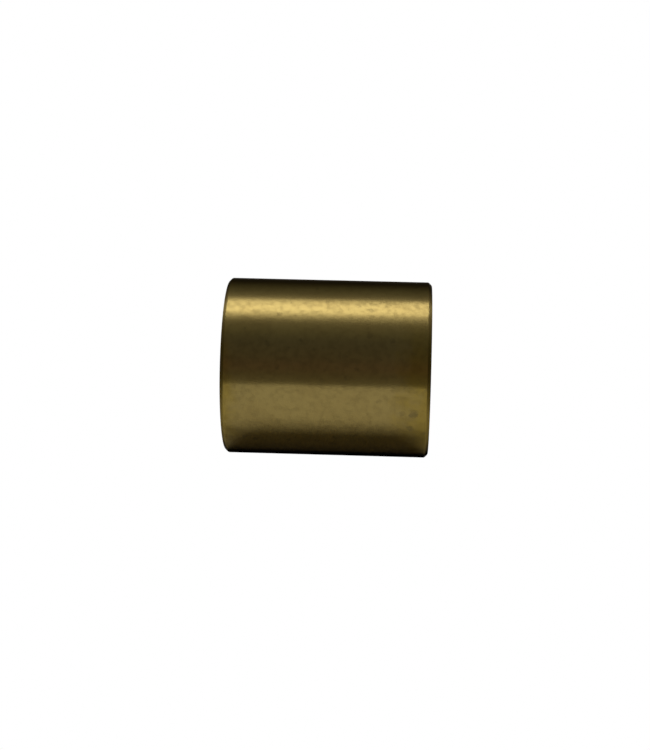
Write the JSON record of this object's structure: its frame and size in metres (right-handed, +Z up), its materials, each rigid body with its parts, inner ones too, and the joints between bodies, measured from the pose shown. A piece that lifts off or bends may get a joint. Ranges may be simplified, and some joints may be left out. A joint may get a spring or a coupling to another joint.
{
  "type": "rigid sleeve coupling",
  "caption": "Plain turned brass sleeve with a straight bore that joins two shafts end to end, with radial brass-tipped set screws on its rear side.",
  "frame": {"origin": "on the bore axis, half way between the two end faces", "axes": "+X along the bore towards the right-hand end, +Y to the rear where the set screws open, +Z up when the sleeve lies on its side"},
  "size_m": [0.03, 0.026, 0.026],
  "materials": {
    "turned_brass": "satin turned brass, lightly tarnished and scuffed",
    "black_oxide_steel": "black oxide with an oily sheen, worn bright on the thread crests",
    "tip_brass": "fresh machined brass"
  },
  "bodies": {
    "sleeve": {"coupling_sleeve": "turned_brass"},
    "tip_left_upper": {"screw_tip_left_upper": "tip_brass"},
    "screw_left_upper": {"set_screw_left_upper": "black_oxide_steel"},
    "tip_left_lower": {"screw_tip_left_lower": "tip_brass"},
    "screw_left_lower": {"set_screw_left_lower": "black_oxide_steel"},
    "tip_right_upper": {"screw_tip_right_upper": "tip_brass"},
    "screw_right_upper": {"set_screw_right_upper": "black_oxide_steel"},
    "tip_right_lower": {"screw_tip_right_lower": "tip_brass"},
    "screw_right_lower": {"set_screw_right_lower": "black_oxide_steel"}
  },
  "joints": [
    {"name": "left_upper_feed", "type": "slide", "parent": "sleeve", "child": "tip_left_upper", "axis": [0, 0.5, 0.866], "range_m": [-0.0008, 0.0032]},
    {"name": "left_upper_turn", "type": "hinge", "parent": "tip_left_upper", "child": "screw_left_upper", "pos_m": [-0.0075, 0.005, 0.00866], "axis": [0, 0.5, 0.866], "range_deg": [-361, 1441]},
    {"name": "left_lower_feed", "type": "slide", "parent": "sleeve", "child": "tip_left_lower", "axis": [0, 0.866, -0.5], "range_m": [-0.0008, 0.0032]},
    {"name": "left_lower_turn", "type": "hinge", "parent": "tip_left_lower", "child": "screw_left_lower", "pos_m": [-0.0075, 0.00866, -0.005], "axis": [0, 0.866, -0.5], "range_deg": [-361, 1441]},
    {"name": "right_upper_feed", "type": "slide", "parent": "sleeve", "child": "tip_right_upper", "axis": [0, 0.5, 0.866], "range_m": [-0.0008, 0.0032]},
    {"name": "right_upper_turn", "type": "hinge", "parent": "tip_right_upper", "child": "screw_right_upper", "pos_m": [0.0075, 0.005, 0.00866], "axis": [0, 0.5, 0.866], "range_deg": [-361, 1441]},
    {"name": "right_lower_feed", "type": "slide", "parent": "sleeve", "child": "tip_right_lower", "axis": [0, 0.866, -0.5], "range_m": [-0.0008, 0.0032]},
    {"name": "right_lower_turn", "type": "hinge", "parent": "tip_right_lower", "child": "screw_right_lower", "pos_m": [0.0075, 0.00866, -0.005], "axis": [0, 0.866, -0.5], "range_deg": [-361, 1441]}
  ],
  "couplings": [
    {"joint": "left_upper_turn", "follows": "left_upper_feed", "rad_per_m": 7854},
    {"joint": "left_lower_turn", "follows": "left_lower_feed", "rad_per_m": 7854},
    {"joint": "right_upper_turn", "follows": "right_upper_feed", "rad_per_m": 7854},
    {"joint": "right_lower_turn", "follows": "right_lower_feed", "rad_per_m": 7854}
  ]
}
